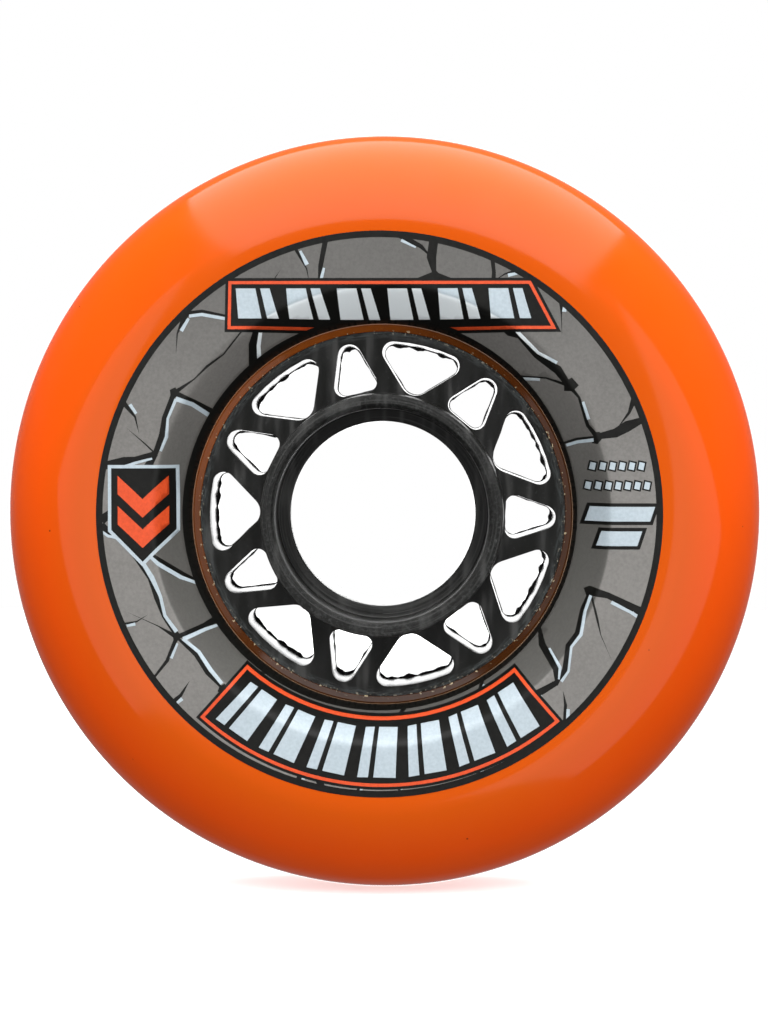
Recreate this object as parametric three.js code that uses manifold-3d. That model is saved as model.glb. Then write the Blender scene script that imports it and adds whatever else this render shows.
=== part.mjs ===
// An 80 mm inline skate wheel as it comes out of the mould, without bearings or axle:
// a glass-filled nylon hub, a urethane tyre cast round the hub's rim, and the printed
// ink ring on each side. Millimetres, +Z up. The wheel turns about Y through the
// origin, its front looks towards -Y, and it stands on the lowest point of its tread.

import * as THREE from 'three';
import { mergeVertices } from 'three/addons/utils/BufferGeometryUtils.js';
import Module from 'manifold-3d';

// ---- Tyre -------------------------------------------------------------------------
const tyreDiameter = 80;        // over the tread
const tyreWidth = 23.7;         // across the two flat side walls
const lipWidth = 0.75;          // thin urethane edge that laps over the hub's rim
const lipEdge = 0.15;           // its thickness where it starts
const lipHeight = 0.5;          // its height over the rim where the cone begins
const coneWidth = 3.65;         // radial width of the dished cone inside the side wall
const flatWidth = 5.91;         // radial width of the flat side wall; the crown is the rest

// ---- Hub --------------------------------------------------------------------------
const bearingDiameter = 22;     // outer ring of a 608 bearing
const bearingWidth = 7;
const bearingSpacing = 10;      // between the two bearings, the length of their stop ring
const stopReach = 1.3;          // how far the stop ring reaches in behind each bearing
const stopChamfer = 0.2;
const mouthChamfer = 0.4;       // lead-in at each seat's mouth
const bossWall = 1.4;           // wall of the boss round a bearing seat
const bossDraft = 0.25;         // the boss is this much wider at the web than at its end
const bossRound = 0.2;          // broken edge at the boss's end
const webThickness = 13.6;      // the spoked web between boss and rim
const rimFace = 0.97;           // bare rim between the windows and the tyre's lip
const rimCover = 1.2;           // more rim, under the tyre's lip and cone
const anchorNeckHeight = 2.2;   // ring buried in the urethane, which keys the tyre on
const anchorNeckWidth = 4;
const anchorHeadHeight = 1.4;
const anchorHeadWidth = 6.8;

// ---- Windows through the web, in pairs of one large and one small --------------------
const windowPairs = 7;
const windowPhase = THREE.MathUtils.degToRad(13.9);  // first large one, from the top
const windowMargin = 0.37;      // web left between the boss and a window
const windowHeight = 5.25;      // radial size of both kinds
const largeWidth = 8.2;         // across the large window's outer corners
const largeCornerRound = 1.14;
const largeTipRound = 1.66;
const smallWidth = 4.5;         // across the small window's inner corners
const smallCornerRound = 1;
const smallTipRound = 1.24;
const windowDraft = 0.25;       // each wall leans in this far on its way to mid-web
const flashWidth = 0.3;         // straight band at mid-web, where the mould halves meet
const overcut = 1;              // the cutting solids stand this far out of the web

// ---- Ink and gaps --------------------------------------------------------------------
const printInset = 0.1;         // bare urethane between the lip and the printed ring
const printMargin = 0.3;        // flat side wall left outside the printed ring
const inkThickness = 0.08;
const inkGap = 0.03;            // between the ink's solid and the side wall
const bondGap = 0.05;           // between the tyre's solid and the hub's

const turns = 56;               // facets round the wheel: a multiple of windows and of 4
const crownSteps = 9;           // facets from each side wall to the tread
const cornerSteps = 4;          // facets in a window's rounded corner

// ---- Radii and half widths worked out from them -----------------------------------------
const seatRadius = bearingDiameter / 2;
const stopHalf = bearingSpacing / 2;
const hubHalf = stopHalf + bearingWidth;
const bossRadius = seatRadius + bossWall;
const webHalf = webThickness / 2;
const windowInner = bossRadius + windowMargin;
const windowOuter = windowInner + windowHeight;
const lipRadius = windowOuter + rimFace;
const rimRadius = lipRadius + rimCover;
const neckRadius = rimRadius + anchorNeckHeight;
const headRadius = neckRadius + anchorHeadHeight;
const coneInner = lipRadius + lipWidth;
const coneOuter = coneInner + coneWidth;
const tyreRadius = tyreDiameter / 2;
const tyreHalf = tyreWidth / 2;
const crownRadius = coneOuter + flatWidth;
const crownDepth = tyreRadius - crownRadius;
const lipTop = webHalf + lipHeight;

// ---- Finishes ---------------------------------------------------------------------------
const nylon = { color: 0x1d1d1a, roughness: 0.42, metalness: 0 };
const urethane = { color: 0xf26318, roughness: 0.3, metalness: 0 };
const ink = { color: 0x8e8a86, roughness: 0.5, metalness: 0 };

function named(name, geometry, finish) {
  const mesh = new THREE.Mesh(geometry, new THREE.MeshStandardMaterial(finish));
  mesh.name = name;
  return mesh;
}

// A closed ring turned about Y from its outline of (radius, y) points.
function turned(outline) {
  return new THREE.LatheGeometry([...outline, outline[0]], turns);
}

// The whole outline of a ring that is the same on both sides, from its +Y half, which is
// listed from the axle outwards.
function bothSides(half) {
  const inwards = [...half].reverse();
  const mirrored = half.map((p) => new THREE.Vector2(p.x, -p.y));
  if (half.at(-1).y === 0) mirrored.pop();
  return [...inwards, ...mirrored];
}

const point = (r, y) => new THREE.Vector2(r, y);

// ---- Boolean cuts -------------------------------------------------------------------------
const wasm = await Module();
wasm.setup();

function toSolid(geometry) {
  const bare = geometry.clone();
  bare.deleteAttribute('normal');
  bare.deleteAttribute('uv');
  const merged = mergeVertices(bare, 1e-4);
  return new wasm.Manifold(new wasm.Mesh({
    numProp: 3,
    vertProperties: merged.attributes.position.array,
    triVerts: new Uint32Array(merged.index.array),
  }));
}

function toGeometry(solid) {
  const { vertProperties, triVerts } = solid.getMesh();
  const geometry = new THREE.BufferGeometry();
  geometry.setAttribute('position', new THREE.BufferAttribute(vertProperties, 3));
  geometry.setIndex(new THREE.BufferAttribute(triVerts, 1));
  geometry.computeVertexNormals();
  return geometry;
}

// ---- Window outlines: x is across the spoke gap, y is the distance from the axle ------------

// The outline round circles taken counter-clockwise, with a straight side from each one to
// the next: each circle is an arc between its two tangent points.
function aroundCircles(circles) {
  const outline = new THREE.Shape();
  const sideAngle = circles.map((from, i) => {
    const to = circles[(i + 1) % circles.length];
    const span = Math.hypot(to.x - from.x, to.y - from.y);
    return Math.atan2(to.y - from.y, to.x - from.x) - Math.asin((to.r - from.r) / span);
  });
  circles.forEach((circle, i) => {
    const before = sideAngle[(i + circles.length - 1) % circles.length];
    const quarter = Math.PI / 2;
    outline.absarc(circle.x, circle.y, circle.r, before - quarter, sideAngle[i] - quarter);
  });
  return outline;
}

// Wide side out, tip towards the axle. A fourth circle gives the outer side its curve.
function largeWindow() {
  const cornerRound = Math.min(largeCornerRound, windowHeight / 4, largeWidth / 4);
  const tipRound = Math.min(largeTipRound, windowHeight / 3, largeWidth / 4);
  const lean = Math.asin((largeWidth / 2 - cornerRound) / (windowOuter - cornerRound));
  const reach = windowOuter - cornerRound;
  const corner = (angle) => ({
    x: reach * Math.sin(angle), y: reach * Math.cos(angle), r: cornerRound,
  });
  const tip = { x: 0, y: windowInner + tipRound, r: tipRound };
  return aroundCircles([tip, corner(lean), corner(0), corner(-lean)]);
}

// Wide side towards the axle, tip out.
function smallWindow() {
  const cornerRound = Math.min(smallCornerRound, windowHeight / 4, smallWidth / 4);
  const tipRound = Math.min(smallTipRound, windowHeight / 3, smallWidth / 3);
  const across = smallWidth / 2 - cornerRound;
  const low = windowInner + cornerRound;
  return aroundCircles([
    { x: -across, y: low, r: cornerRound },
    { x: across, y: low, r: cornerRound },
    { x: 0, y: windowOuter - tipRound, r: tipRound },
  ]);
}

// The solid that cuts a window: it narrows from both ends to the flash band at mid-web.
function windowCutter(outline, angle) {
  const geometry = new THREE.ExtrudeGeometry(outline, {
    depth: flashWidth,
    bevelThickness: webHalf + overcut - flashWidth / 2,
    bevelSize: -windowDraft,
    bevelSegments: 1,
    curveSegments: cornerSteps,
  });
  geometry.translate(0, 0, -flashWidth / 2);
  geometry.rotateX(Math.PI / 2);
  geometry.rotateY(angle);
  return toSolid(geometry);
}

// ---- Hub: stop ring, two seats, boss, web, rim and the buried anchor ring ---------------------
function hub() {
  const half = [
    point(seatRadius - stopReach, stopHalf - stopChamfer),
    point(seatRadius - stopReach + stopChamfer, stopHalf),
    point(seatRadius, stopHalf),
    point(seatRadius, hubHalf - mouthChamfer),
    point(seatRadius + mouthChamfer, hubHalf),
    point(bossRadius - bossRound, hubHalf),
    point(bossRadius, hubHalf - bossRound),
    point(bossRadius + bossDraft, webHalf),
    point(rimRadius, webHalf),
    point(rimRadius, anchorNeckWidth / 2),
    point(neckRadius, anchorNeckWidth / 2),
    point(neckRadius, anchorHeadWidth / 2),
    point(headRadius, anchorHeadWidth / 2),
  ];
  let solid = toSolid(turned(bothSides(half)));
  const pitch = 2 * Math.PI / windowPairs;
  for (let i = 0; i < windowPairs; i += 1) {
    const angle = windowPhase + i * pitch;
    solid = solid.subtract(windowCutter(largeWindow(), angle));
    solid = solid.subtract(windowCutter(smallWindow(), angle + pitch / 2));
  }
  return named('hub', toGeometry(solid), nylon);
}

// ---- Tyre: the cavity that the hub's rim fills, then lip, cone, side wall and crown --------------
function tyre() {
  const half = [
    point(headRadius + bondGap, anchorHeadWidth / 2 + bondGap),
    point(neckRadius - bondGap, anchorHeadWidth / 2 + bondGap),
    point(neckRadius - bondGap, anchorNeckWidth / 2 + bondGap),
    point(rimRadius + bondGap, anchorNeckWidth / 2 + bondGap),
    point(rimRadius + bondGap, webHalf + bondGap),
    point(lipRadius, webHalf + bondGap),
    point(lipRadius, webHalf + bondGap + lipEdge),
    point(coneInner, lipTop),
    point(coneOuter, tyreHalf),
  ];
  for (let i = 0; i <= crownSteps; i += 1) {
    const angle = (Math.PI / 2) * (1 - i / crownSteps);
    const y = i === crownSteps ? 0 : tyreHalf * Math.sin(angle);
    half.push(point(crownRadius + crownDepth * Math.cos(angle), y));
  }
  return named('tyre', turned(bothSides(half)), urethane);
}

// ---- Printed ring: a film of ink that follows the cone and the flat side wall --------------------
function print(name, side) {
  const coneSlope = (tyreHalf - lipTop) / coneWidth;
  const wall = [
    point(coneInner + printInset, lipTop + printInset * coneSlope),
    point(coneOuter, tyreHalf),
    point(crownRadius - printMargin, tyreHalf),
  ];
  const under = wall.map((p) => point(p.x, side * (p.y + inkGap)));
  const over = wall.map((p) => point(p.x, side * (p.y + inkGap + inkThickness)));
  const outline = [...under, ...over.reverse()];
  return named(name, turned(side > 0 ? outline : outline.reverse()), ink);
}

const wheel = new THREE.Group();
wheel.add(hub(), tyre(), print('print_front', -1), print('print_back', 1));

export default wheel;
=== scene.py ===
"""An 80 mm inline skate wheel: nylon hub, cast urethane tyre and printed side walls.

The wheel turns about Y through the origin, its front looks towards -Y, and it stands
on its tread. Lengths are written in millimetres and multiplied by `mm`.
"""
import math
import random

import bpy
import bmesh
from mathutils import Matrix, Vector
from mathutils.geometry import delaunay_2d_cdt


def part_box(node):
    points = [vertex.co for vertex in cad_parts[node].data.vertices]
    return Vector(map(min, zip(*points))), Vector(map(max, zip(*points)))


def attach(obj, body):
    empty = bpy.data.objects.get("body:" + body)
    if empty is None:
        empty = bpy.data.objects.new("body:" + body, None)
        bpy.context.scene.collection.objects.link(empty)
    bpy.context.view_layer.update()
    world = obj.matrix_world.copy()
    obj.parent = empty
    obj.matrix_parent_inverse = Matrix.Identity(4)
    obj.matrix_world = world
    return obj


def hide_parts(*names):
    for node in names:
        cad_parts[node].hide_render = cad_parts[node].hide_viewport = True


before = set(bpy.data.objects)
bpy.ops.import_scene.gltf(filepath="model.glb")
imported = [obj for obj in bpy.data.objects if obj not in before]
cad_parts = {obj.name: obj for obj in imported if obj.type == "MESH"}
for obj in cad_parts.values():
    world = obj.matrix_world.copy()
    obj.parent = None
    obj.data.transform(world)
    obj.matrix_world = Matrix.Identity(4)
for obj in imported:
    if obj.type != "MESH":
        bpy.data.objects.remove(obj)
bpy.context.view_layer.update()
mm = 0.001


# ==== Camera ======================================================================
# A long lens a little to the right of the axle line and above it, aimed at the wheel's
# centre, so the lower left wall of every opening in the hub shows.
camera_place = Vector((6.0, -265.0, 9.1)) * mm
camera_data = bpy.data.cameras.new("camera")
camera_data.lens = 87.2
camera_data.sensor_width = 36.0
camera_data.clip_start = 0.01
camera_data.clip_end = 50.0
camera = bpy.data.objects.new("camera", camera_data)
camera.location = camera_place
camera.rotation_euler = (-camera_place).to_track_quat("-Z", "Y").to_euler()
bpy.context.scene.collection.objects.link(camera)
bpy.context.scene.camera = camera


# ==== Hub =========================================================================
# One moulding of black glass-filled nylon: a boss with a bearing seat in each side, a
# web with seven large and seven small windows, and the rim that the tyre is cast on.
# It comes out of a two-part mould, so the windows narrow towards flash at mid-web.
hub_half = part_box("hub")[1][1]
stop_half = 5.0 * mm            # half the ring between the two bearings
stop_radius = 9.7 * mm
seat_radius = 11.0 * mm         # a 22 mm bearing
mouth_chamfer = 0.4 * mm
boss_radius = 12.4 * mm
boss_foot = 12.65 * mm          # the boss is a little wider where it meets the web
web_half = 6.8 * mm
window_inner = 12.77 * mm
window_outer = 18.02 * mm
window_pairs = 7
window_phase = math.radians(13.9)
window_edge = 0.085 * mm        # radius of the rounded edge round each window
edge_land = 0.02 * mm           # narrow flat strip outside that edge
window_draft = 0.13 * mm
flash_half = 0.05 * mm
flash_reach = 1.1 * mm          # longest ragged flash, before its noise shortens it
rim_face_outer = 19.3 * mm      # flat rim face, on under the tyre's lip
rim_radius = 20.19 * mm
neck_radius = 22.39 * mm        # neck and head of the ring that keys the tyre on
neck_half = 2.0 * mm
head_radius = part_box("hub")[1][2]
head_half = 3.4 * mm
turn_steps = 252                # facets round the wheel


def object_of(mesh, name):
    """A new object in the scene that shows this mesh."""
    made = bpy.data.objects.new(name, mesh)
    bpy.context.scene.collection.objects.link(made)
    return made


def wire_of(points, name):
    """An object whose mesh is a chain of points, the outline a ring is turned from."""
    mesh = bpy.data.meshes.new(name)
    edges = [(i, i + 1) for i in range(len(points) - 1)]
    mesh.from_pydata([(p[0], p[1], 0.0) for p in points], edges, [])
    return object_of(mesh, name)


def node_tree(name, inputs):
    """A Geometry Nodes tree with these (name, socket type) inputs, and the sockets that give them."""
    tree = bpy.data.node_groups.new(name, "GeometryNodeTree")
    tree.interface.new_socket("Geometry", in_out="INPUT", socket_type="NodeSocketGeometry")
    for label, kind in inputs:
        tree.interface.new_socket(label, in_out="INPUT", socket_type=kind)
    tree.interface.new_socket("Geometry", in_out="OUTPUT", socket_type="NodeSocketGeometry")
    return tree, tree.nodes.new("NodeGroupInput").outputs


def node_of(tree, kind, inputs=None, output=0, **settings):
    """One output of a new node; its inputs, by name or number, are values or other nodes' sockets."""
    node = tree.nodes.new(kind)
    for setting, value in settings.items():
        setattr(node, setting, value)
    for key, value in (inputs or {}).items():
        if isinstance(value, bpy.types.NodeSocket):
            tree.links.new(value, node.inputs[key])
        else:
            node.inputs[key].default_value = value
    return node.outputs[output]


def math_node(tree, operation, *values):
    """The output of a Math node whose inputs are numbers or sockets."""
    return node_of(tree, "ShaderNodeMath", dict(enumerate(values)), operation=operation)


def times(tree, product, *others):
    """The product of numbers or sockets."""
    for other in others:
        product = math_node(tree, "MULTIPLY", product, other)
    return product


def vector_of(tree, *values):
    """A vector put together from three numbers or sockets."""
    return node_of(tree, "ShaderNodeCombineXYZ", dict(enumerate(values)))


def parts_of(tree, vector):
    """The x, y and z sockets of a vector."""
    return tuple(node_of(tree, "ShaderNodeSeparateXYZ", {0: vector}).node.outputs)


def from_axle(tree, x, z):
    """The distance from the axle to a place with these x and z sockets."""
    return math_node(tree, "SQRT", math_node(tree, "ADD", times(tree, x, x), times(tree, z, z)))


def noise_of(tree, place, scale, detail=3.0, roughness=0.5):
    """Noise between 0 and 1 at this place."""
    return node_of(tree, "ShaderNodeTexNoise", {
        "Vector": place, "Scale": scale, "Detail": detail, "Roughness": roughness,
    })


def end_tree(tree, geometry, distance, material):
    """Welds the points within this distance, makes everything real and gives it the material."""
    weld = node_of(tree, "GeometryNodeMergeByDistance", {"Geometry": geometry, "Distance": distance})
    real = node_of(tree, "GeometryNodeRealizeInstances", {"Geometry": weld})
    paint = node_of(tree, "GeometryNodeSetMaterial", {"Geometry": real, "Material": material})
    tree.links.new(paint, tree.nodes.new("NodeGroupOutput").inputs[0])


def finished(source, tree, settings, name):
    """Runs a tree on an object with these named inputs and returns the result as a plain mesh object."""
    modifier = source.modifiers.new("nodes", "NODES")
    modifier.node_group = tree
    for item in tree.interface.items_tree:
        if item.item_type == "SOCKET" and item.in_out == "INPUT" and item.name in settings:
            modifier[item.identifier] = settings[item.name]
    source.update_tag()
    shown = source.evaluated_get(bpy.context.evaluated_depsgraph_get())
    mesh = bpy.data.meshes.new_from_object(shown)
    source.modifiers.remove(modifier)
    bpy.data.objects.remove(source)
    mesh.name = name
    return object_of(mesh, name)


def turned_tree():
    """Turns an outline of (radius, y) points about Y: one row of a grid for each point, one column a step."""
    tree, given = node_tree("turned ring", [("Steps", "NodeSocketInt"), ("Material", "NodeSocketMaterial")])
    rows = node_of(tree, "GeometryNodeAttributeDomainSize", {0: given["Geometry"]}, "Point Count")
    columns = math_node(tree, "ADD", given["Steps"], 1.0)
    grid = node_of(tree, "GeometryNodeMeshGrid", {"Vertices X": rows, "Vertices Y": columns})
    index = node_of(tree, "GeometryNodeInputIndex")
    row = math_node(tree, "FLOOR", math_node(tree, "DIVIDE", math_node(tree, "ADD", index, 0.5), columns))
    column = math_node(tree, "SUBTRACT", index, times(tree, row, columns))
    angle = math_node(tree, "DIVIDE", times(tree, column, 2 * math.pi), given["Steps"])
    position = node_of(tree, "GeometryNodeInputPosition")
    outline = node_of(
        tree, "GeometryNodeSampleIndex", {"Geometry": given["Geometry"], "Value": position, "Index": row},
        "Value", data_type="FLOAT_VECTOR")
    radius, y, _ = parts_of(tree, outline)
    across = times(tree, radius, math_node(tree, "SINE", angle))
    height = times(tree, radius, math_node(tree, "COSINE", angle))
    place = vector_of(tree, across, y, height)
    ring = node_of(tree, "GeometryNodeSetPosition", {"Geometry": grid, "Position": place})
    end_tree(tree, ring, 1e-6, given["Material"])
    return tree


turned = turned_tree()


def turned_ring(points, material, name, steps=turn_steps):
    """A ring turned from an outline of (radius, y) points."""
    return finished(wire_of(points, name), turned, {"Steps": steps, "Material": material}, name)


def arc(centre, radius, start, end, steps):
    """Points on an arc in the (radius, y) or (x, z) plane, angles in degrees from the first axis."""
    return [
        (centre[0] + radius * math.cos(a), centre[1] + radius * math.sin(a))
        for a in (math.radians(start + (end - start) * i / steps) for i in range(steps + 1))
    ]


def both_sides(half):
    """The whole outline from its +Y half, listed from the front inwards, over and back."""
    return [(r, -y) for r, y in reversed(half)] + half


def window_outline(circles, corner_steps=9, side_steps=5):
    """Points and outward normals round circles taken counter-clockwise, joined by their tangents."""
    count = len(circles)
    side = []
    for i, (x, y, r) in enumerate(circles):
        nx, ny, nr = circles[(i + 1) % count]
        side.append(math.atan2(ny - y, nx - x) - math.asin((nr - r) / math.hypot(nx - x, ny - y)))
    found = []
    for i, (x, y, r) in enumerate(circles):
        start, end = side[i - 1] - math.pi / 2, side[i] - math.pi / 2
        end += 2 * math.pi if end < start - 1e-9 else 0.0
        steps = max(2, round(corner_steps * (end - start) / 2.0))
        for k in range(steps + 1):
            a = start + (end - start) * k / steps
            found.append(((x + r * math.cos(a), y + r * math.sin(a)), (math.cos(a), math.sin(a))))
        nx, ny, nr = circles[(i + 1) % count]
        normal = (math.cos(end), math.sin(end))
        first = (x + r * normal[0], y + r * normal[1])
        last = (nx + nr * normal[0], ny + nr * normal[1])
        for k in range(1, side_steps):
            t = k / side_steps
            found.append(((first[0] + (last[0] - first[0]) * t, first[1] + (last[1] - first[1]) * t), normal))
    return found


def large_window():
    """Wide side out and tip towards the axle; its outer side is curved like the rim."""
    corner, tip, half_width = 1.14 * mm, 1.66 * mm, 4.1 * mm
    reach = window_outer - corner
    lean = math.asin((half_width - corner) / reach)
    leans = (lean, lean / 2, 0.0, -lean / 2, -lean)
    outer = [(reach * math.sin(a), reach * math.cos(a), corner) for a in leans]
    return window_outline([(0.0, window_inner + tip, tip), *outer])


def small_window():
    """Wide side towards the axle and tip out."""
    corner, tip, half_width = 1.0 * mm, 1.24 * mm, 2.25 * mm
    across, low = half_width - corner, window_inner + corner
    return window_outline([(-across, low, corner), (across, low, corner), (0.0, window_outer - tip, tip)])


def pushed(outline, distance):
    """The outline moved out along its normals."""
    return [(p[0] + n[0] * distance, p[1] + n[1] * distance) for p, n in outline]


def window_wall(outline, name):
    """The wall of one window standing over the axle: land, rounded edge, drafted wall and flash fin."""
    levels = [(window_edge + edge_land, web_half)]
    for i in range(5):
        a = math.radians(22.5 * i)
        levels.append((window_edge * (1 - math.sin(a)), web_half - window_edge * (1 - math.cos(a))))
    levels.append((-window_draft * 0.5, web_half * 0.5))
    levels.append((-window_draft, flash_half))
    fin = len(levels)
    levels.append((-window_draft - 0.02 * mm, flash_half * 0.6))
    levels += [(d, -y) for d, y in reversed(levels)]
    mesh = bpy.data.meshes.new(name)
    count = len(outline)
    points, faces, inwards = [], [], []
    for row, (distance, y) in enumerate(levels):
        for (x, z), (p, n) in zip(pushed(outline, distance), outline):
            points.append((x, y, z))
            on_fin = row in (fin, fin + 1)
            reach = 0.3 + 0.7 * max(n[1], 0.0) if on_fin else 0.0
            inwards.append((-n[0] * reach, 0.0, -n[1] * reach))
    for row in range(len(levels) - 1):
        for i in range(count):
            j = (i + 1) % count
            faces.append((row * count + i, row * count + j, (row + 1) * count + j, (row + 1) * count + i))
    mesh.from_pydata(points, [], faces)
    stored = mesh.attributes.new("inwards", "FLOAT_VECTOR", "POINT")
    for item, value in zip(stored.data, inwards):
        item.vector = value
    return object_of(mesh, name)


def turn_about_y(point, angle):
    """A point (x, z) turned clockwise as seen from the front."""
    x, z = point
    return (x * math.cos(angle) + z * math.sin(angle), z * math.cos(angle) - x * math.sin(angle))


def web_faces(windows, name):
    """Both faces of the web, flat plates between two circles with a hole for each window."""
    angles = [2 * math.pi * i / turn_steps for i in range(turn_steps)]
    rings = [[(r * math.cos(a), r * math.sin(a)) for a in angles] for r in (rim_face_outer, boss_foot)]
    holes = [
        [turn_about_y(p, angle) for p in pushed(outline, window_edge + edge_land)]
        for outline, angle in windows
    ]
    points, loops = [], []
    for ring in rings + holes:
        loops.append(list(range(len(points), len(points) + len(ring))))
        points += ring
    made = delaunay_2d_cdt([Vector(p) for p in points], [], loops, 0, 1e-9)
    places, cells, sources = made[0], made[2], made[5]
    kept = [cell for cell, source in zip(cells, sources) if list(source) == [0]]
    front = [(p[0], -web_half, p[1]) for p in places]
    back = [(p[0], web_half, p[1]) for p in places]
    shift = len(places)
    mesh = bpy.data.meshes.new(name)
    mesh.from_pydata(front + back, [], kept + [[i + shift for i in reversed(cell)] for cell in kept])
    return object_of(mesh, name)


def hub_tree():
    """Joins the turned parts and the web's faces with the window walls, repeated round the axle."""
    tree, given = node_tree("hub", [
        ("Plates", "NodeSocketObject"), ("Rim", "NodeSocketObject"),
        ("Large wall", "NodeSocketObject"), ("Small wall", "NodeSocketObject"),
        ("Pairs", "NodeSocketInt"), ("Phase", "NodeSocketFloat"),
        ("Flash", "NodeSocketFloat"), ("Material", "NodeSocketMaterial"),
    ])
    join = tree.nodes.new("GeometryNodeJoinGeometry")
    tree.links.new(given["Geometry"], join.inputs[0])
    for label in ("Plates", "Rim"):
        part = node_of(tree, "GeometryNodeObjectInfo", {"Object": given[label]}, "Geometry")
        tree.links.new(part, join.inputs[0])
    pitch = math_node(tree, "DIVIDE", 2 * math.pi, given["Pairs"])
    for label, share in (("Large wall", 0.0), ("Small wall", 0.5)):
        wall = node_of(tree, "GeometryNodeObjectInfo", {"Object": given[label]}, "Geometry")
        places = node_of(tree, "GeometryNodePoints", {"Count": given["Pairs"]})
        index = node_of(tree, "GeometryNodeInputIndex")
        steps = times(tree, math_node(tree, "ADD", index, share), pitch)
        angle = math_node(tree, "ADD", steps, given["Phase"])
        keep = node_of(
            tree, "GeometryNodeStoreNamedAttribute", {"Name": "turn", "Geometry": places, "Value": angle},
            data_type="FLOAT", domain="POINT")
        spin = vector_of(tree, 0.0, angle, 0.0)
        copies = node_of(
            tree, "GeometryNodeInstanceOnPoints", {"Points": keep, "Instance": wall, "Rotation": spin})
        real = node_of(tree, "GeometryNodeRealizeInstances", {0: copies})
        inwards = node_of(
            tree, "GeometryNodeInputNamedAttribute", {"Name": "inwards"}, "Attribute",
            data_type="FLOAT_VECTOR")
        turn = node_of(
            tree, "GeometryNodeInputNamedAttribute", {"Name": "turn"}, "Attribute", data_type="FLOAT")
        rotated = node_of(
            tree, "ShaderNodeVectorRotate", {"Vector": inwards, "Angle": turn}, rotation_type="Y_AXIS")
        noise = noise_of(tree, node_of(tree, "GeometryNodeInputPosition"), 900.0)
        uneven = math_node(tree, "MAXIMUM", math_node(tree, "SUBTRACT", noise, 0.34), 0.07)
        length = times(tree, uneven, given["Flash"])
        offset = node_of(tree, "ShaderNodeVectorMath", {0: rotated, "Scale": length}, operation="SCALE")
        ragged = node_of(tree, "GeometryNodeSetPosition", {"Geometry": real, "Offset": offset})
        tree.links.new(ragged, join.inputs[0])
    end_tree(tree, join.outputs[0], 2e-6, given["Material"])
    return tree


def closed_and_smooth(made, angle=35.0):
    """Welds a finished piece, points its faces outwards and keeps only its real edges sharp."""
    shape = bmesh.new()
    shape.from_mesh(made.data)
    bmesh.ops.remove_doubles(shape, verts=shape.verts, dist=1e-6)
    bmesh.ops.recalc_face_normals(shape, faces=shape.faces)
    open_edges = sum(1 for e in shape.edges if len(e.link_faces) != 2)
    shape.to_mesh(made.data)
    shape.free()
    made.data.shade_smooth()
    made.data.set_sharp_from_angle(angle=math.radians(angle))
    print(made.name, len(made.data.polygons), "faces", open_edges, "open edges")
    return made


def new_material(name):
    """A material, its node tree and its one shader."""
    material = bpy.data.materials.new(name)
    material.use_nodes = True
    return material, material.node_tree, material.node_tree.nodes["Principled BSDF"]


def wheel_polar(tree):
    """Radius and place along the axle in millimetres, angle round it, and the place itself."""
    place = node_of(tree, "ShaderNodeTexCoord", output="Object")
    x, y, z = parts_of(tree, place)
    angle = math_node(tree, "ARCTAN2", x, z)
    return times(tree, from_axle(tree, x, z), 1000.0), times(tree, y, 1000.0), angle, place


def ramp_of(tree, factor, stops):
    """A value or colour that changes with the factor; stops are (place, grey or colour)."""
    node = tree.nodes.new("ShaderNodeValToRGB")
    while len(node.color_ramp.elements) < len(stops):
        node.color_ramp.elements.new(0.5)
    for element, (place, colour) in zip(node.color_ramp.elements, stops):
        element.position = place
        element.color = (colour, colour, colour, 1) if isinstance(colour, (int, float)) else (*colour, 1)
    tree.links.new(factor, node.inputs[0])
    return node.outputs[0]


def between(tree, value, low, high):
    """0 below the low value, 1 above the high one, and a straight run from one to the other."""
    return node_of(tree, "ShaderNodeMapRange", {"Value": value, "From Min": low, "From Max": high})


def mixed(tree, factor, first, second):
    """A colour between two colours or sockets."""
    first, second = [(*c, 1) if isinstance(c, tuple) else c for c in (first, second)]
    return node_of(tree, "ShaderNodeMix", {0: factor, 6: first, 7: second}, 2, data_type="RGBA")


def bump_of(tree, height, depth):
    """A bumped normal from a height between 0 and 1 and a depth in millimetres."""
    return node_of(tree, "ShaderNodeBump", {"Height": height, "Distance": depth * mm})


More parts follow.
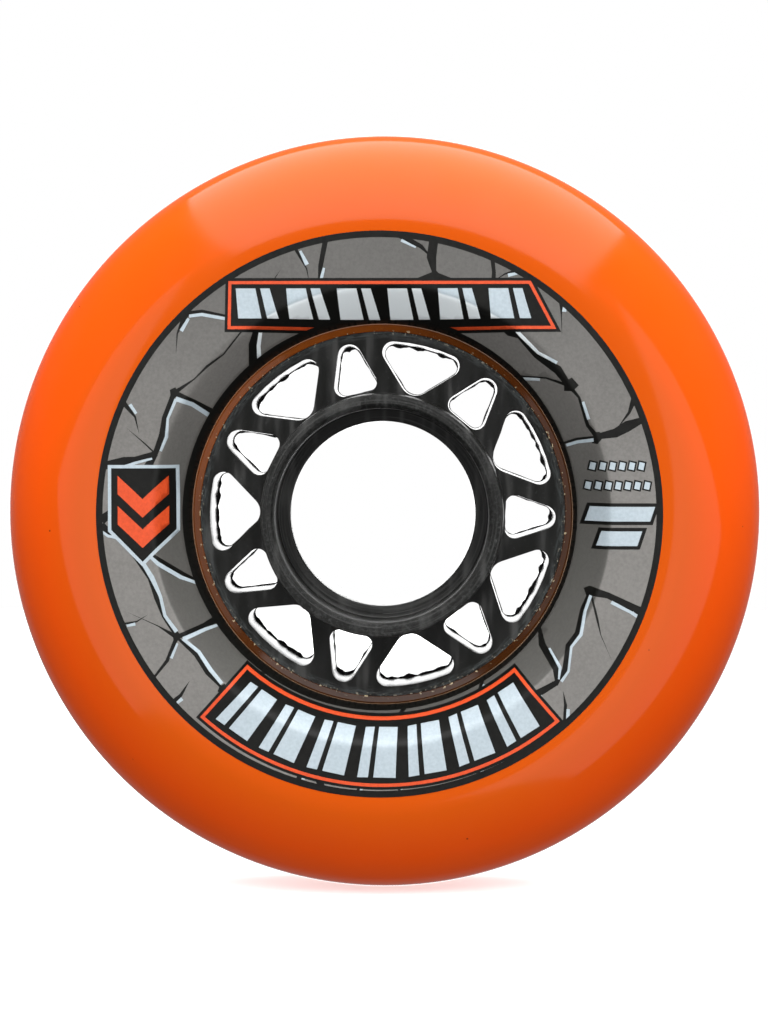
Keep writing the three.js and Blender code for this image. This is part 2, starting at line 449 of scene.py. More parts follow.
def nylon_material():
    """Black nylon: upright flow streaks whose lighter bands are partly painted sheen, tool marks in the boss,
    scuffed ends and a rim with wear and dust.
    """
    material, tree, shader = new_material("black_nylon")
    link = tree.links.new
    marks_and_sheen = (0.045, 0.045, 0.043)
    radius, along, angle, place = wheel_polar(tree)
    depth = math_node(tree, "ABSOLUTE", along)
    stretched = node_of(tree, "ShaderNodeVectorMath", {0: place, 1: (1.0, 0.3, 0.16)}, operation="MULTIPLY")
    streaks = noise_of(tree, stretched, 900.0, 1.5)
    # the streaks are flow marks in the roughness; their lighter bands in the colour are partly painted sheen
    colour = ramp_of(
        tree, streaks, [(0.38, (0.0035, 0.0037, 0.003)), (0.55, (0.008, 0.008, 0.0075)), (0.74, marks_and_sheen)])
    fine = noise_of(tree, place, 2600.0, 4.0, 0.7)
    colour = mixed(tree, between(tree, fine, 0.62, 0.8), colour, (0.045, 0.047, 0.045))
    turned_place = vector_of(tree, times(tree, along, 5.0), times(tree, radius, 4.0), times(tree, angle, 0.5))
    tool = noise_of(tree, turned_place, 1.3, 4.0, 0.6)
    in_boss = math_node(tree, "SUBTRACT", 1.0, between(tree, radius, 12.45, 12.75))
    colour = mixed(tree, times(tree, in_boss, between(tree, tool, 0.5, 0.7)), colour, marks_and_sheen)
    scuff = between(tree, noise_of(tree, place, 2600.0, 5.0, 0.8), 0.5, 0.66)
    at_end = times(tree, between(tree, depth, 9.5, 11.6), in_boss)
    colour = mixed(tree, times(tree, at_end, scuff, 0.75), colour, (0.046, 0.047, 0.046))
    rim_place = vector_of(tree, times(tree, radius, 5.0), times(tree, angle, 14.0), along)
    mottle = noise_of(tree, rim_place, 1.0, 4.0, 0.75)
    at_rim = times(tree, between(tree, radius, 18.15, 18.6), between(tree, mottle, 0.44, 0.62))
    colour = mixed(tree, at_rim, colour, (0.040, 0.047, 0.047))
    specks = noise_of(tree, place, 3200.0, 2.0)
    dust = times(tree, between(tree, radius, 18.6, 18.95), between(tree, specks, 0.6, 0.68))
    colour = mixed(tree, dust, colour, (0.3, 0.27, 0.21))
    link(colour, shader.inputs["Base Color"])
    rough = ramp_of(tree, streaks, [(0.3, 0.33), (0.75, 0.44)])
    coarse = math_node(tree, "MAXIMUM", times(tree, at_rim, 0.6), times(tree, at_end, 0.52))
    rough = math_node(tree, "MAXIMUM", rough, coarse)
    on_wall = times(tree, between(tree, radius, 12.66, 12.7), between(tree, depth, 6.76, 6.7))
    in_bore = times(tree, between(tree, radius, 9.78, 9.72), between(tree, depth, 5.0, 4.9))
    polished = times(tree, math_node(tree, "MAXIMUM", on_wall, in_bore), 0.5)
    link(times(tree, rough, math_node(tree, "SUBTRACT", 1.0, polished)), shader.inputs["Roughness"])
    height = math_node(tree, "ADD", times(tree, tool, in_boss), times(tree, fine, 0.35))
    height = math_node(tree, "ADD", height, times(tree, mottle, at_rim))
    height = math_node(tree, "ADD", height, times(tree, scuff, at_end))
    link(bump_of(tree, height, 0.03), shader.inputs["Normal"])
    return material


nylon = nylon_material()

boss_half = [
    (boss_foot, web_half),
    (boss_radius + 0.02 * mm, hub_half - 0.25 * mm),
    *arc((boss_radius - 0.18 * mm, hub_half - 0.2 * mm), 0.2 * mm, 0, 90, 4),
    *arc((seat_radius + mouth_chamfer + 0.1 * mm, hub_half - 0.1 * mm), 0.1 * mm, 90, 135, 2),
    *arc((seat_radius + 0.12 * mm, hub_half - mouth_chamfer - 0.12 * mm), 0.12 * mm, 150, 180, 2),
    *arc((seat_radius - 0.15 * mm, stop_half + 0.15 * mm), 0.15 * mm, 0, -90, 4),
    *arc((stop_radius + 0.2 * mm, stop_half - 0.2 * mm), 0.2 * mm, 90, 180, 4),
    (stop_radius, 0.0),
]
boss_outline = boss_half + [(r, -y) for r, y in reversed(boss_half[:-1])]
rim_half = [
    (rim_face_outer, web_half),
    (rim_radius, web_half),
    (rim_radius, neck_half),
    (neck_radius, neck_half),
    (neck_radius, head_half),
    (head_radius, head_half),
]
rim_outline = rim_half + [(r, -y) for r, y in reversed(rim_half)]

pitch = 2 * math.pi / window_pairs
windows = []
for i in range(window_pairs):
    windows.append((large_window(), window_phase + i * pitch))
    windows.append((small_window(), window_phase + (i + 0.5) * pitch))
plates = web_faces(windows, "web_plates")
rim = turned_ring(rim_outline, nylon, "rim_surface")
large_wall = window_wall(large_window(), "large_wall")
small_wall = window_wall(small_window(), "small_wall")
boss = turned_ring(boss_outline, nylon, "boss_surface")
hub_body = finished(boss, hub_tree(), {
    "Plates": plates, "Rim": rim, "Large wall": large_wall, "Small wall": small_wall,
    "Pairs": window_pairs, "Phase": window_phase, "Flash": flash_reach, "Material": nylon,
}, "hub_body")
for spare in (plates, rim, large_wall, small_wall):
    bpy.data.objects.remove(spare)
closed_and_smooth(hub_body)
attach(hub_body, "root")
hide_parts("hub")


# ==== Tyre ========================================================================
# Orange polyurethane poured round the hub's rim in a polished mould, so it has the hub's
# grooves inside, a thin lip over the rim, a dished cone, a flat wall and a full crown.
tyre_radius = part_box("tyre")[1][2]
wall_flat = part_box("tyre")[1][1]        # half the width across the flat side walls
bond_gap = 0.05 * mm
lip_radius = 18.99 * mm
lip_edge = 0.15 * mm
lip_top = 7.3 * mm
cone_inner = 19.74 * mm
cone_outer = 23.39 * mm
cone_slope = (wall_flat - lip_top) / (cone_outer - cone_inner)
ridge_blend = 0.9 * mm                  # how softly the cone turns into the flat wall
crown_start = 29.3 * mm
parting_height = 0.03 * mm              # line round the tread where the mould's halves met
bead_height = 0.07 * mm                 # ridge that the mould's step leaves at the lip


def wall_height(r):
    """How far the cone and the flat wall stand from the wheel's middle at this radius."""
    cone = lip_top + (r - cone_inner) * cone_slope
    near = max(ridge_blend - abs(cone - wall_flat), 0.0) / ridge_blend
    return min(cone, wall_flat) - near ** 3 * ridge_blend / 6.0


cavity = [
    (head_radius + bond_gap, head_half + bond_gap),
    (neck_radius - bond_gap, head_half + bond_gap),
    (neck_radius - bond_gap, neck_half + bond_gap),
    (rim_radius + bond_gap, neck_half + bond_gap),
    (rim_radius + bond_gap, web_half + bond_gap),
    (lip_radius, web_half + bond_gap),
    (lip_radius, web_half + bond_gap + lip_edge * 0.6),
    (lip_radius + 0.06 * mm, web_half + bond_gap + lip_edge),
]
lip = []
for i in range(1, 15):
    r = lip_radius + (cone_inner + 0.02 * mm - lip_radius) * i / 14
    rise = (r - lip_radius) / (cone_inner - lip_radius)
    bead = bead_height * math.exp(-((r - cone_inner + 0.03 * mm) / (0.06 * mm)) ** 2)
    lip.append((r, web_half + bond_gap + lip_edge + (lip_top - web_half - bond_gap - lip_edge) * rise + bead))
cone_radii = [cone_inner + (0.1 + 0.18 * i) * mm for i in range(30)]
cone = [(r, wall_height(r)) for r in cone_radii]
flat = [(r * mm, wall_flat) for r in (25.6, 27.0, 28.4)]
crown = []
for i in range(65):
    a = math.radians(90.0 * (1 - i / 64))
    crown.append((crown_start + (tyre_radius - crown_start) * math.cos(a), wall_flat * math.sin(a)))
crown[-3:] = [
    (tyre_radius - 0.004 * mm, 0.30 * mm), (tyre_radius, 0.11 * mm),
    (tyre_radius + parting_height * 0.7, 0.06 * mm), (tyre_radius + parting_height, 0.0),
]
tyre_outline = both_sides(cavity + lip + cone + flat + crown)


def urethane_material():
    """Glossy orange urethane with a few dark specks, browner where the thin lip shows the black hub; painted
    light and shade on the lip and a painted highlight ring at its edge.
    """
    material, tree, shader = new_material("orange_urethane")
    link = tree.links.new
    radius, along, _, place = wheel_polar(tree)
    depth = math_node(tree, "ABSOLUTE", along)
    cloud = noise_of(tree, place, 60.0, 2.0)
    colour = mixed(tree, cloud, (0.64, 0.064, 0.0024), (0.69, 0.071, 0.0030))
    # the side wall is a darker red inside 31 mm, blending back to the brighter orange by 35.5 mm
    inner_wall = ramp_of(tree, between(tree, radius, 31.0, 35.5), [(0.0, 1.0), (1.0, 0.0)])
    colour = mixed(tree, inner_wall, colour, (0.51, 0.070, 0.0030))
    spots = node_of(tree, "ShaderNodeTexVoronoi", {"Vector": place, "Scale": 330.0}, "Distance")
    speck = math_node(tree, "LESS_THAN", spots, 0.035)
    rare = between(tree, noise_of(tree, place, 140.0, 1.0), 0.56, 0.6)
    colour = mixed(tree, times(tree, speck, rare), colour, (0.12, 0.02, 0.004))
    lip_cloud = noise_of(tree, place, 420.0, 4.0, 0.65)
    # painted light and shade: the lip's brown is lightened towards the upper left and darkened opposite, as
    # if lit from there
    upper_left = (-0.57, 0.0, 0.82)
    lean = node_of(tree, "ShaderNodeVectorMath", {0: place, 1: upper_left}, "Value", operation="DOT_PRODUCT")
    lip_light_and_shade = ramp_of(
        tree, between(tree, lean, -0.0195, 0.0195), [(0.25, 0.0), (0.5, 0.17), (0.8, 0.38), (0.93, 1.0)])
    shaded_lip = mixed(tree, lip_cloud, (0.026, 0.0075, 0.001), (0.048, 0.0135, 0.002))
    lit_lip = mixed(tree, lip_cloud, (0.13, 0.031, 0.003), (0.23, 0.056, 0.007))
    lip_colour = mixed(tree, lip_light_and_shade, shaded_lip, lit_lip)
    in_lip = ramp_of(tree, between(tree, radius, 19.0, 20.0), [(0.0, 1.0), (0.9, 1.0), (1.0, 0.0)])
    colour = mixed(tree, in_lip, colour, lip_colour)
    # painted highlight: a thin pale ring round the lip's edge, where the bead there catches the light
    at_line = between(tree, radius, 19.5, 20.0)
    line = ramp_of(tree, at_line, [(0.4, 0.0), (0.48, 0.24), (0.54, 0.24), (0.62, 0.0)])
    colour = mixed(tree, line, colour, (0.5, 0.36, 0.24))
    crumbs = between(tree, noise_of(tree, place, 2400.0, 2.0), 0.62, 0.68)
    by_hub = times(tree, between(tree, radius, 19.3, 19.05), between(tree, depth, 7.6, 7.5))
    colour = mixed(tree, times(tree, crumbs, by_hub), colour, (0.45, 0.36, 0.22))
    link(colour, shader.inputs["Base Color"])
    ripple = noise_of(tree, place, 260.0, 2.0)
    link(ramp_of(tree, ripple, [(0.3, 0.08), (0.7, 0.12)]), shader.inputs["Roughness"])
    link(bump_of(tree, ripple, 0.004), shader.inputs["Normal"])
    shader.inputs["IOR"].default_value = 1.5
    return material


urethane = urethane_material()
tyre_body = turned_ring(tyre_outline, urethane, "tyre_body")
closed_and_smooth(tyre_body)
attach(tyre_body, "root")
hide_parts("tyre")


# ==== Printed side walls ============================================================
# Pad-printed ink on each side of the tyre: a black base ring, a grey field with black
# cracks through it, and silver and orange marks on top. Every film follows the cone.
print_inner = 19.8 * mm
print_outer = 28.98 * mm
field_inner = 20.45 * mm
field_outer = 28.3 * mm
film_thickness = 0.016 * mm
base_lift = 0.012 * mm          # how far each layer of ink stands off the side wall
field_lift = 0.034 * mm
marks_lift = 0.056 * mm
wall_steps = 180                # points in each circle where a film bends with the wall
border_steps = 240              # points in the circles that bound the print
wall_rings = [
    19.8, 20.45, 21.0, 21.5, 22.0, 22.35, 22.6, 22.8, 22.95, 23.1, 23.25, 23.4, 23.55, 23.7, 23.9, 24.2,
]


def lay_tree():
    """Lays a flat sheet drawn in XZ on the side wall and makes it as thick as a film of ink."""
    tree, value = node_tree("lay on side wall", [
        ("Lift", "NodeSocketFloat"), ("Thickness", "NodeSocketFloat"), ("Side", "NodeSocketFloat"),
        ("Cone start", "NodeSocketFloat"), ("Start height", "NodeSocketFloat"), ("Slope", "NodeSocketFloat"),
        ("Flat height", "NodeSocketFloat"), ("Blend", "NodeSocketFloat"), ("Material", "NodeSocketMaterial"),
    ])
    x, _, z = parts_of(tree, node_of(tree, "GeometryNodeInputPosition"))
    from_start = math_node(tree, "SUBTRACT", from_axle(tree, x, z), value["Cone start"])
    cone_height = math_node(tree, "ADD", times(tree, from_start, value["Slope"]), value["Start height"])
    height = math_node(tree, "SMOOTH_MIN", cone_height, value["Flat height"], value["Blend"])
    lifted = times(tree, math_node(tree, "ADD", height, value["Lift"]), value["Side"])
    place = vector_of(tree, times(tree, x, times(tree, value["Side"], -1.0)), lifted, z)
    under = node_of(tree, "GeometryNodeSetPosition", {"Geometry": value["Geometry"], "Position": place})
    over = node_of(tree, "GeometryNodeExtrudeMesh", {
        "Individual": False, "Mesh": under,
        "Offset": vector_of(tree, 0.0, value["Side"], 0.0), "Offset Scale": value["Thickness"],
    })
    join = tree.nodes.new("GeometryNodeJoinGeometry")
    tree.links.new(under, join.inputs[0])
    tree.links.new(over, join.inputs[0])
    end_tree(tree, join.outputs[0], 1e-6, value["Material"])
    return tree


lay = lay_tree()


def circle_of(radius, count=wall_steps):
    """A closed ring of points."""
    angles = [2 * math.pi * i / count for i in range(count)]
    return [(radius * math.cos(a), radius * math.sin(a)) for a in angles]


def film(shapes, keep, lift, material, name, side=-1.0):
    """A film of ink: the parts of the drawn shapes that `keep` says yes to, laid on the side wall."""
    points, loops, owners = [], [], []
    for label, outlines in shapes.items():
        for outline in outlines:
            area = sum(a[0] * b[1] - b[0] * a[1] for a, b in zip(outline, outline[1:] + outline[:1]))
            ordered = outline if area > 0 else outline[::-1]
            loops.append(list(range(len(points), len(points) + len(ordered))))
            owners.append(label)
            points += ordered
    edges = []
    for r in wall_rings:
        start = len(points)
        points += circle_of(r * mm)
        edges += [(start + i, start + (i + 1) % wall_steps) for i in range(wall_steps)]
    made = delaunay_2d_cdt([Vector(p) for p in points], edges, loops, 0, 1e-8)
    cells = [c for c, s in zip(made[2], made[5]) if keep({owners[i] for i in s})]
    used = sorted({i for cell in cells for i in cell})
    number = {old: new for new, old in enumerate(used)}
    mesh = bpy.data.meshes.new(name)
    mesh.from_pydata(
        [(made[0][i][0], 0.0, made[0][i][1]) for i in used], [], [[number[i] for i in c] for c in cells]
    )
    laid = finished(object_of(mesh, name), lay, {
        "Lift": lift, "Thickness": film_thickness, "Side": side,
        "Cone start": cone_inner, "Start height": lip_top, "Slope": cone_slope,
        "Flat height": wall_flat, "Blend": ridge_blend, "Material": material,
    }, name)
    return closed_and_smooth(laid, 60.0)


def ink(name, first, second, roughness, shade_towards_top=0.0, shade_on_lower_cone=0.0, light_on_upper_cone=0.0):
    """Pad-printed ink: two tones in a fine grain; painted shade can darken it towards the top and on the
    lower cone, and painted light can brighten the upper cone.
    """
    material, tree, shader = new_material(name)
    link = tree.links.new
    radius, _, _, place = wheel_polar(tree)
    height = parts_of(tree, place)[2]
    grain = noise_of(tree, place, 3000.0, 3.0, 0.7)
    cloud = noise_of(tree, place, 90.0, 3.0)
    tone = math_node(tree, "ADD", times(tree, grain, 0.7), times(tree, cloud, 0.3))
    colour = mixed(tree, between(tree, tone, 0.38, 0.62), first, second)
    on_cone = between(tree, radius, 23.55, 23.35)
    # painted light: the upper part of the cone is brightened towards white, where the lamps leave it dim
    if light_on_upper_cone:
        upper_cone = times(tree, on_cone, between(tree, height, 0.012, 0.018), light_on_upper_cone)
        colour = mixed(tree, upper_cone, colour, (0.92, 0.98, 1.0))
    # painted shade: darker towards the top of the flat wall and on the lower part of the cone
    if shade_towards_top:
        on_flat = between(tree, radius, 23.35, 23.55)
        upper = times(tree, between(tree, height, 0.002, 0.024), on_flat, shade_towards_top)
        colour = mixed(tree, upper, colour, (0.02, 0.02, 0.02))
        lower_cone = times(tree, on_cone, shade_on_lower_cone, between(tree, height, 0.016, 0.002))
        colour = mixed(tree, lower_cone, colour, (0.012, 0.013, 0.01))
    link(colour, shader.inputs["Base Color"])
    link(ramp_of(tree, grain, [(0.3, roughness - 0.05), (0.7, roughness + 0.05)]), shader.inputs["Roughness"])
    link(bump_of(tree, grain, 0.002), shader.inputs["Normal"])
    return material


black_ink = ink("black_ink", (0.0025, 0.0024, 0.002), (0.006, 0.006, 0.005), 0.4)
# the grey ink takes painted shade towards the top and on the lower cone; the silver ink takes painted light
# on the upper cone
grey_ink = ink("grey_ink", (0.147, 0.141, 0.132), (0.184, 0.177, 0.166), 0.5, 0.42, 0.55)
silver_ink = ink("silver_ink", (0.34, 0.40, 0.44), (0.40, 0.465, 0.505), 0.4, light_on_upper_cone=0.85)
orange_ink = ink("orange_ink", (0.52, 0.052, 0.009), (0.64, 0.070, 0.013), 0.45)


def polar(r, clock):
    """A point r millimetres from the axle, at an angle in degrees clockwise from the top."""
    return (r * mm * math.sin(math.radians(clock)), r * mm * math.cos(math.radians(clock)))


def ribbon(points, widths):
    """The outline of a line whose width changes from point to point; widths in millimetres."""
    left, right = [], []
    for i, p in enumerate(points):
        a, b = points[max(i - 1, 0)], points[min(i + 1, len(points) - 1)]
        dx, dz = b[0] - a[0], b[1] - a[1]
        size = math.hypot(dx, dz)
        nx, nz = -dz / size, dx / size
        half = widths[i] * mm / 2
        left.append((p[0] + nx * half, p[1] + nz * half))
        right.append((p[0] - nx * half, p[1] - nz * half))
    return left + right[::-1]


def in_quiet_patch(point):
    """Whether a point lies where the small marks on the right are printed, which no crack crosses."""
    return point[0] > 20.4 * mm and -4.0 * mm < point[1] < 6.6 * mm


def crack_network(rng):
    """Angular cracks between scattered points round the ring, each with a glint beside it."""
    cracks, glints = [], []
    count = 17
    spurs = 16
    past_field = 28.7       # cracks run on under the borders, where the field ends them
    before_field = 20.1

    def clock(i, low, high, number=count):
        return 360.0 * (i + rng.uniform(low, high)) / number

    def crack(start, end, wide, glint, fade=False):
        steps = max(2, round(math.dist(start, end) / (2.1 * mm)))
        dx, dz = end[0] - start[0], end[1] - start[1]
        size = math.hypot(dx, dz)
        points, widths = [], []
        for k in range(steps + 1):
            t = k / steps + (0.0 if k in (0, steps) else rng.uniform(-0.3, 0.3) / steps)
            drift = 0.0 if k in (0, steps) else rng.uniform(-0.42, 0.42) * mm
            points.append((start[0] + dx * t - dz / size * drift, start[1] + dz * t + dx / size * drift))
            widths.append(wide * rng.uniform(0.3, 1.5) * ((1.02 - k / steps) if fade else 1.0))
        if any(in_quiet_patch(p) for p in points):
            return
        cracks.append(ribbon(points, widths))
        if glint:
            first = rng.choice((0, 0, 1))
            last = max(first + 1, steps - rng.choice((0, 0, 1)))
            if fade:
                first, last = 0, max(1, steps // 2)
            turn_to = 1.0 if (-dz * 0.8 - dx * 0.6) > 0 else -1.0
            thick = rng.uniform(0.26, 0.44)
            beside = []
            for k in range(first, last + 1):
                away = (widths[k] / 2 + thick / 2 - 0.02) * mm * turn_to
                beside.append((points[k][0] - dz / size * away, points[k][1] + dx / size * away))
            # each end stops a little short, so that two glints never cross where cracks meet
            for end_at, next_to in ((0, 1), (-1, -2)):
                (x0, z0), (x1, z1) = beside[end_at], beside[next_to]
                beside[end_at] = (x0 + (x1 - x0) * 0.2, z0 + (z1 - z0) * 0.2)
            glints.append(ribbon(beside, [thick * rng.uniform(0.6, 1.2) for _ in beside]))

    inner = [polar(before_field, clock(i, -0.25, 0.25)) for i in range(count)]
    middle = [polar(rng.uniform(22.6, 26.6), clock(i + 0.4, -0.22, 0.22)) for i in range(count)]
    outer = [polar(past_field, clock(i + (0.1 if i % 2 else 0.6), -0.2, 0.2)) for i in range(count)]
    for i in range(count):
        crack(middle[i], middle[(i + 1) % count], rng.choice((0.35, 0.5, 0.65, 0.85)), rng.random() < 0.85)
        if i % 4 != 1:
            crack(middle[i], inner[i], rng.choice((0.3, 0.5, 0.75)), rng.random() < 0.85)
        if i % 4 != 2:
            crack(middle[i], outer[i], rng.choice((0.3, 0.5, 0.75)), rng.random() < 0.85)
        reach = rng.uniform(26.6, 28.0) if i % 2 else rng.uniform(20.8, 22.2)
        tail = polar(reach, clock(i, 0.6, 1.0))
        if i % 2:
            crack(middle[i], tail, rng.choice((0.35, 0.5)), i % 3 == 0, fade=True)
        # a dark wedge where the cracks meet
        spread = rng.uniform(0.4, 0.85)
        wedge = []
        for k in range(5):
            a = 2 * math.pi * k / 5 + rng.uniform(-0.4, 0.4)
            x = middle[i][0] + spread * rng.uniform(0.6, 1.2) * mm * math.cos(a)
            z = middle[i][1] + spread * rng.uniform(0.6, 1.2) * mm * math.sin(a)
            wedge.append((x, z))
        if not in_quiet_patch(middle[i]):
            cracks.append(wedge)
    # short spurs that run in from the outer border
    for i in range(spurs):
        start = clock(i, -0.3, 0.3, spurs)
        tip = polar(rng.uniform(24.8, 26.8), start + rng.uniform(-8.0, 8.0))
        crack(polar(past_field, start), tip, rng.choice((0.5, 0.7)), rng.random() < 0.9, fade=True)
    return cracks, glints


def band(r0, r1, c0, c1, steps=24):
    """A piece of the ring between two radii and two clock angles."""
    return (
        [polar(r1, c0 + (c1 - c0) * i / steps) for i in range(steps + 1)]
        + [polar(r0, c1 + (c0 - c1) * i / steps) for i in range(steps + 1)]
    )


def grown(shape, by):
    """A convex outline with its corners moved out from its centre line; by in millimetres."""
    found = []
    count = len(shape)
    area = sum(a[0] * b[1] - b[0] * a[1] for a, b in zip(shape, shape[1:] + shape[:1]))
    sign = 1.0 if area > 0 else -1.0
    for i, p in enumerate(shape):
        a, b = shape[i - 1], shape[(i + 1) % count]
        n1 = Vector((p[1] - a[1], a[0] - p[0])).normalized()
        n2 = Vector((b[1] - p[1], p[0] - b[0])).normalized()
        out = (n1 + n2) / max(0.35, 1 + n1.dot(n2))
        found.append((p[0] + out.x * by * mm * sign, p[1] + out.y * by * mm * sign))
    return found


rng = random.Random(80)
cracks, glints = crack_network(rng)
# the pad landed a little off centre, so all but the ring's inner edge sits to one side
astray_x, astray_z = -0.26 * mm, 0.09 * mm


def off_centre(radius):
    """A circle of the print, shifted as the whole print is."""
    return [(x + astray_x, z + astray_z) for x, z in circle_of(radius, border_steps)]


def in_mm(points):
    """Points (x, z) that are given in millimetres."""
    return [(x * mm, z * mm) for x, z in points]


ring_all = {"outer": [off_centre(print_outer)], "inner": [circle_of(print_inner, border_steps)]}
field = {"field": [off_centre(field_outer)], "hole": [off_centre(field_inner)]}

# top plaque: six slanted blocks in one straight row
top_block = ((-1.7, 20.15), (2.4, 20.15), (1.5, 23.2), (-1.95, 23.2))
top_bars = []
for i in range(6):
    x = -12.9 + 5.15 * i
    top_bars.append([(x * mm + dx * mm, z * mm) for dx, z in top_block])
top_plaque = in_mm(((-15.7, 19.05), (17.8, 19.05), (15.2, 23.95), (-15.6, 23.95)))
top_inner = grown(top_plaque, -0.32)

# bottom plaque: seven blocks that follow the ring
bottom_block = ((21.9, -4.9), (21.9, 3.7), (26.9, 4.7), (26.9, -3.7))
bottom_blocks = []
for i in range(7):
    centre = 180.6 + (i - 3) * 11.3
    bottom_blocks.append([polar(r, centre + c) for r, c in bottom_block])
bottom_plaque = band(20.9, 27.8, 180 - 41.0, 180 + 42.0, 60)
bottom_inner = grown(bottom_plaque, -0.34)


# left emblem: two chevrons inside a silver shield line
def chevron(x, z, reach=2.55, rise=2.4, thick=1.9):
    """A flat arrow head that points down, its tip at (x, z)."""
    return in_mm((
        (x, z), (x + reach, z + rise), (x + reach, z + rise + thick),
        (x, z + thick), (x - reach, z + rise + thick), (x - reach, z + rise),
    ))


shield = in_mm(((-28.0, 5.2), (-20.9, 5.2), (-20.9, -1.6), (-24.45, -5.2), (-28.0, -1.6)))
shield_black = grown(shield, -0.34)
emblem_marks = [chevron(-24.45, -3.3), chevron(-24.45, -0.2)]

# right marks: two rows of plain lozenges and two bars
right_bars = []
for x0, x1, z in ((20.9, 27.9, 0.2), (22.0, 26.6, -2.3)):
    corners = ((0.0, -0.75), (x1 - x0 - 0.5, -0.75), (x1 - x0, 0.75), (0.5, 0.75))
    right_bars.append(in_mm((x0 + dx, z + dz) for dx, dz in corners))
right_plates = [grown(bar, 0.36) for bar in right_bars]
lozenge = ((-0.34, -0.3), (0.2, -0.42), (0.34, 0.3), (-0.2, 0.42))
lozenges = []
for x0, z, count in ((21.6, 5.1, 6), (21.2, 3.1, 7)):
    for i in range(count):
        x = x0 + i * 0.98
        lozenges.append(in_mm((x + dx, z + dz) for dx, dz in lozenge))

# a slanted slit is left black through every block, from its lower edge to its upper one
slit_start, slit_end = 0.58, 0.72
cuts = []
for block in top_bars + bottom_blocks:
    a, b, c, d = [Vector(corner) for corner in block]
    low, high = b - a, c - d
    slit = [a + low * slit_start, a + low * slit_end, d + high * slit_end, d + high * slit_start]
    cuts.append([(p.x, p.y) for p in slit])
lozenge_edges = [grown(mark, 0.16) for mark in lozenges]
plaques = [grown(top_plaque, 0.3), grown(bottom_plaque, 0.3), shield, *right_plates, *lozenge_edges]
frames = [top_inner, bottom_inner]
orange_inner = circle_of(20.6 * mm, border_steps)

for side, word in ((-1.0, "front"), (1.0, "back")):
    base = film(
        ring_all, lambda s: "outer" in s and "inner" not in s,
        base_lift, black_ink, "print_base_" + word, side)
    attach(base, "root")
    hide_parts("print_" + word)
    grey = film(
        {**field, "crack": cracks, "plaque": plaques},
        lambda s: "field" in s and not s & {"hole", "crack", "plaque"},
        field_lift, grey_ink, "print_field_" + word, side)
    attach(grey, "root")
    silver = film(
        {**field, "glint": glints, "plaque": plaques, "black": [shield_black],
         "shield": [shield], "block": top_bars + bottom_blocks + right_bars + lozenges, "cut": cuts},
        lambda s: ("block" in s and "cut" not in s) or ("shield" in s and "black" not in s)
        or ("field" in s and "glint" in s and not s & {"hole", "plaque"}),
        marks_lift, silver_ink, "print_silver_" + word, side)
    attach(silver, "root")
    orange = film(
        {"plaque": [top_plaque, bottom_plaque], "frame": frames, "mark": emblem_marks,
         "hole": [orange_inner]},
        lambda s: "mark" in s or ("plaque" in s and not s & {"frame", "hole"}),
        marks_lift, orange_ink, "print_orange_" + word, side)
    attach(orange, "root")


# ==== Floor and light ===============================================================
# The wheel stands on a white table in a white studio, under a large soft panel, with two
# more in front. A fill overhead and a panel at each side light it without being reflected.
table_height = -0.0401
table_corners = ((-0.8, -0.6), (0.8, -0.6), (0.8, 0.4), (-0.8, 0.4))
floor_mesh = bpy.data.meshes.new("table")
floor_mesh.from_pydata([(x, y, table_height) for x, y in table_corners], [], [(0, 1, 2, 3)])
table = object_of(floor_mesh, "table")
white, _, white_shader = new_material("white_table")
white_shader.inputs["Base Color"].default_value = (0.9, 0.9, 0.9, 1)
white_shader.inputs["Roughness"].default_value = 0.9
white_shader.inputs["Emission Color"].default_value = (1, 1, 1, 1)
white_shader.inputs["Emission Strength"].default_value = 0.6
floor_mesh.materials.append(white)
table.visible_glossy = False

table.visible_diffuse = False
table.visible_shadow = False

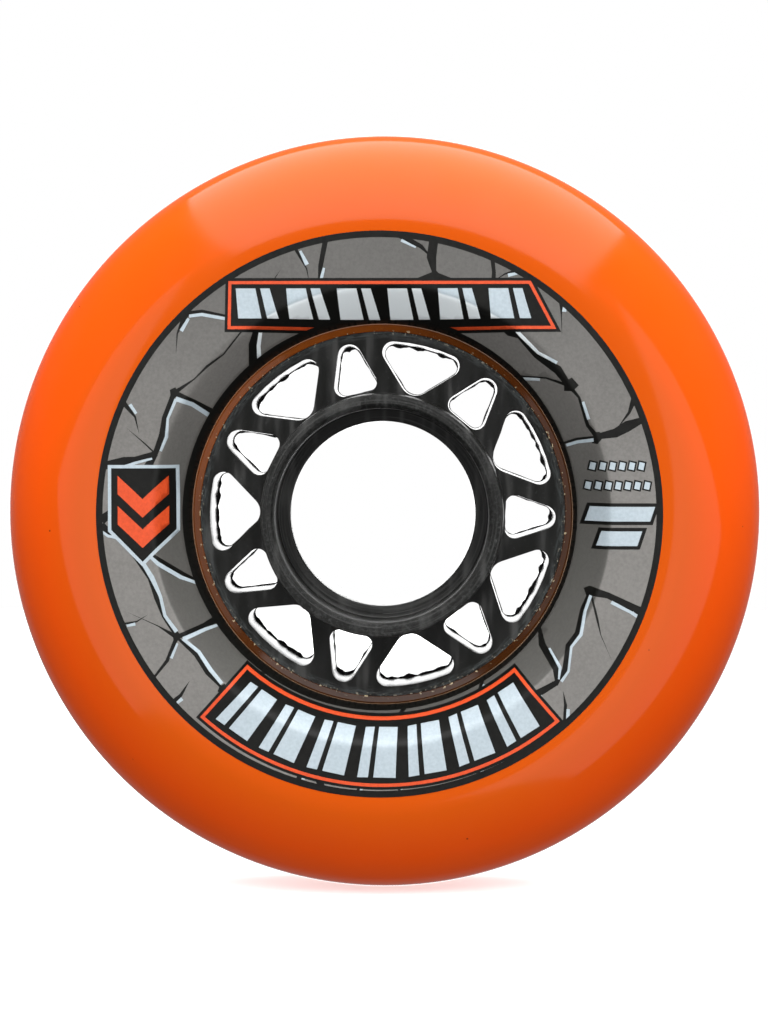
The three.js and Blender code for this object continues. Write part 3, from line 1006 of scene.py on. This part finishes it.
world = bpy.data.worlds.new("studio")
bpy.context.scene.world = world
world.use_nodes = True
sky = world.node_tree
sky.nodes.clear()
_, along_axle, upwards = parts_of(sky, node_of(sky, "ShaderNodeTexCoord", output="Generated"))
soft_light = ramp_of(
    sky, between(sky, upwards, -1.0, 1.0), [(0.0, 1.0), (0.3, 0.3), (0.5, 0.42), (1.0, 0.75)])
reflected = ramp_of(
    sky, between(sky, along_axle, -1.0, 1.0),
    [(0.0, 0.1), (0.06, 0.04), (0.5, 0.035), (0.8, 0.1), (0.955, 0.35), (0.985, 1.0)])
behind = ramp_of(sky, between(sky, along_axle, 0.9, 0.98), [(0.0, 0.2), (1.0, 1.0)])
reflected = times(sky, reflected, behind, 3.0)
rays = sky.nodes.new("ShaderNodeLightPath").outputs
strength = node_of(sky, "ShaderNodeMix", {0: rays["Is Glossy Ray"], 2: soft_light, 3: reflected})
studio = node_of(sky, "ShaderNodeBackground", {"Strength": strength, "Color": (1, 1, 1, 1)})
backdrop = node_of(sky, "ShaderNodeBackground", {"Color": (1, 1, 1, 1)})
choose = node_of(sky, "ShaderNodeMixShader", {0: rays["Is Camera Ray"], 1: studio, 2: backdrop})
sky.links.new(choose, sky.nodes.new("ShaderNodeOutputWorld").inputs[0])

view = bpy.context.scene.view_settings
view.view_transform = "Standard"
view.look = "None"


def soft_box(name, place, wide, tall, radiance, facing=None):
    """A rectangular lamp of even brightness; it faces straight down, or the wheel if asked to."""
    data = bpy.data.lights.new(name, "AREA")
    data.shape = "RECTANGLE"
    data.size, data.size_y = wide, tall
    data.energy = radiance * math.pi * wide * tall
    lamp = bpy.data.objects.new(name, data)
    lamp.location = place
    if facing is not None:
        lamp.rotation_euler = (Vector(facing) - Vector(place)).to_track_quat("-Z", "Z").to_euler()
    bpy.context.scene.collection.objects.link(lamp)
    return lamp


def side_box(name, first, last, low, high, distance, radiance):
    """An upright soft box between two headings in degrees from -Y towards +X."""
    a = math.radians((first + last) / 2)
    place = (distance * math.sin(a), -distance * math.cos(a), (low + high) / 2)
    wide = 2 * distance * math.tan(math.radians(abs(last - first) / 2))
    return soft_box(name, place, wide, high - low, radiance, (0, 0, (low + high) / 2))


soft_box("overhead_panel", (0.055, -0.69, 0.6), 0.93, 2.62, 1.35)
fill = soft_box("overhead_fill", (0.055, -0.5, 0.8), 1.2, 2.4, 4.1)
fill.visible_glossy = False
side_box("front_left_panel", -53, -12, -0.55, 0.45, 1.4, 0.6)
side_box("front_right_panel", 12, 65, -1.1, 0.45, 1.4, 0.62)
for lamp in (
    side_box("right_panel", 93, 130, -0.6, 1.2, 1.4, 1.0),
    side_box("left_panel", -140, -107, -0.6, 1.2, 1.4, 1.0),
):
    lamp.visible_glossy = False
